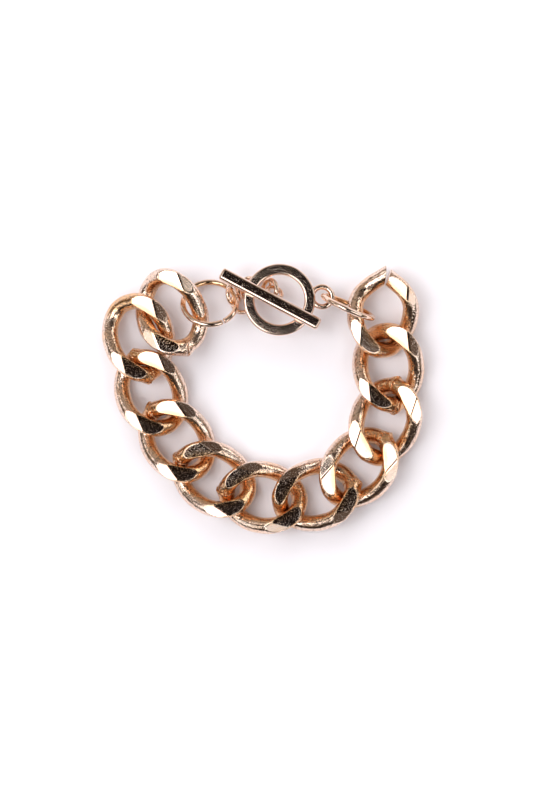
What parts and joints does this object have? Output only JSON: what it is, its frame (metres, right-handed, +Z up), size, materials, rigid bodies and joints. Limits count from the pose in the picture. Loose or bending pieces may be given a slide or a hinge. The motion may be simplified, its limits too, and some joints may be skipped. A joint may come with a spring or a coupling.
{
  "type": "link bracelet",
  "caption": "Chunky rose gold curb chain bracelet lying closed in a loop, its heavy twisted links joined by jump rings and a flat toggle ring with a bar.",
  "frame": {"origin": "on the floor below the middle of the bracelet's bounding box", "axes": "+Z up from the floor the bracelet lies on, +Y from the middle of the loop towards the clasp, +X to the right as seen from above"},
  "size_m": [0.0687, 0.0575, 0.0126],
  "materials": {
    "link_metal": "polished rose gold plate",
    "clasp_metal": "polished rose gold plate",
    "ring_metal": "polished rose gold plate"
  },
  "bodies": {
    "root": {"link_01": "link_metal", "link_02": "link_metal", "link_03": "link_metal", "link_04": "link_metal", "link_05": "link_metal", "link_06": "link_metal", "link_07": "link_metal", "link_08": "link_metal", "link_09": "link_metal", "link_10": "link_metal", "link_11": "link_metal", "toggle_ring": "clasp_metal", "toggle_bar": "clasp_metal", "large_ring_left": "ring_metal", "large_ring_right": "ring_metal", "small_ring_1": "ring_metal", "small_ring_2": "ring_metal", "small_ring_3": "ring_metal", "small_ring_4": "ring_metal", "small_ring_5": "ring_metal"}
  },
  "joints": []
}
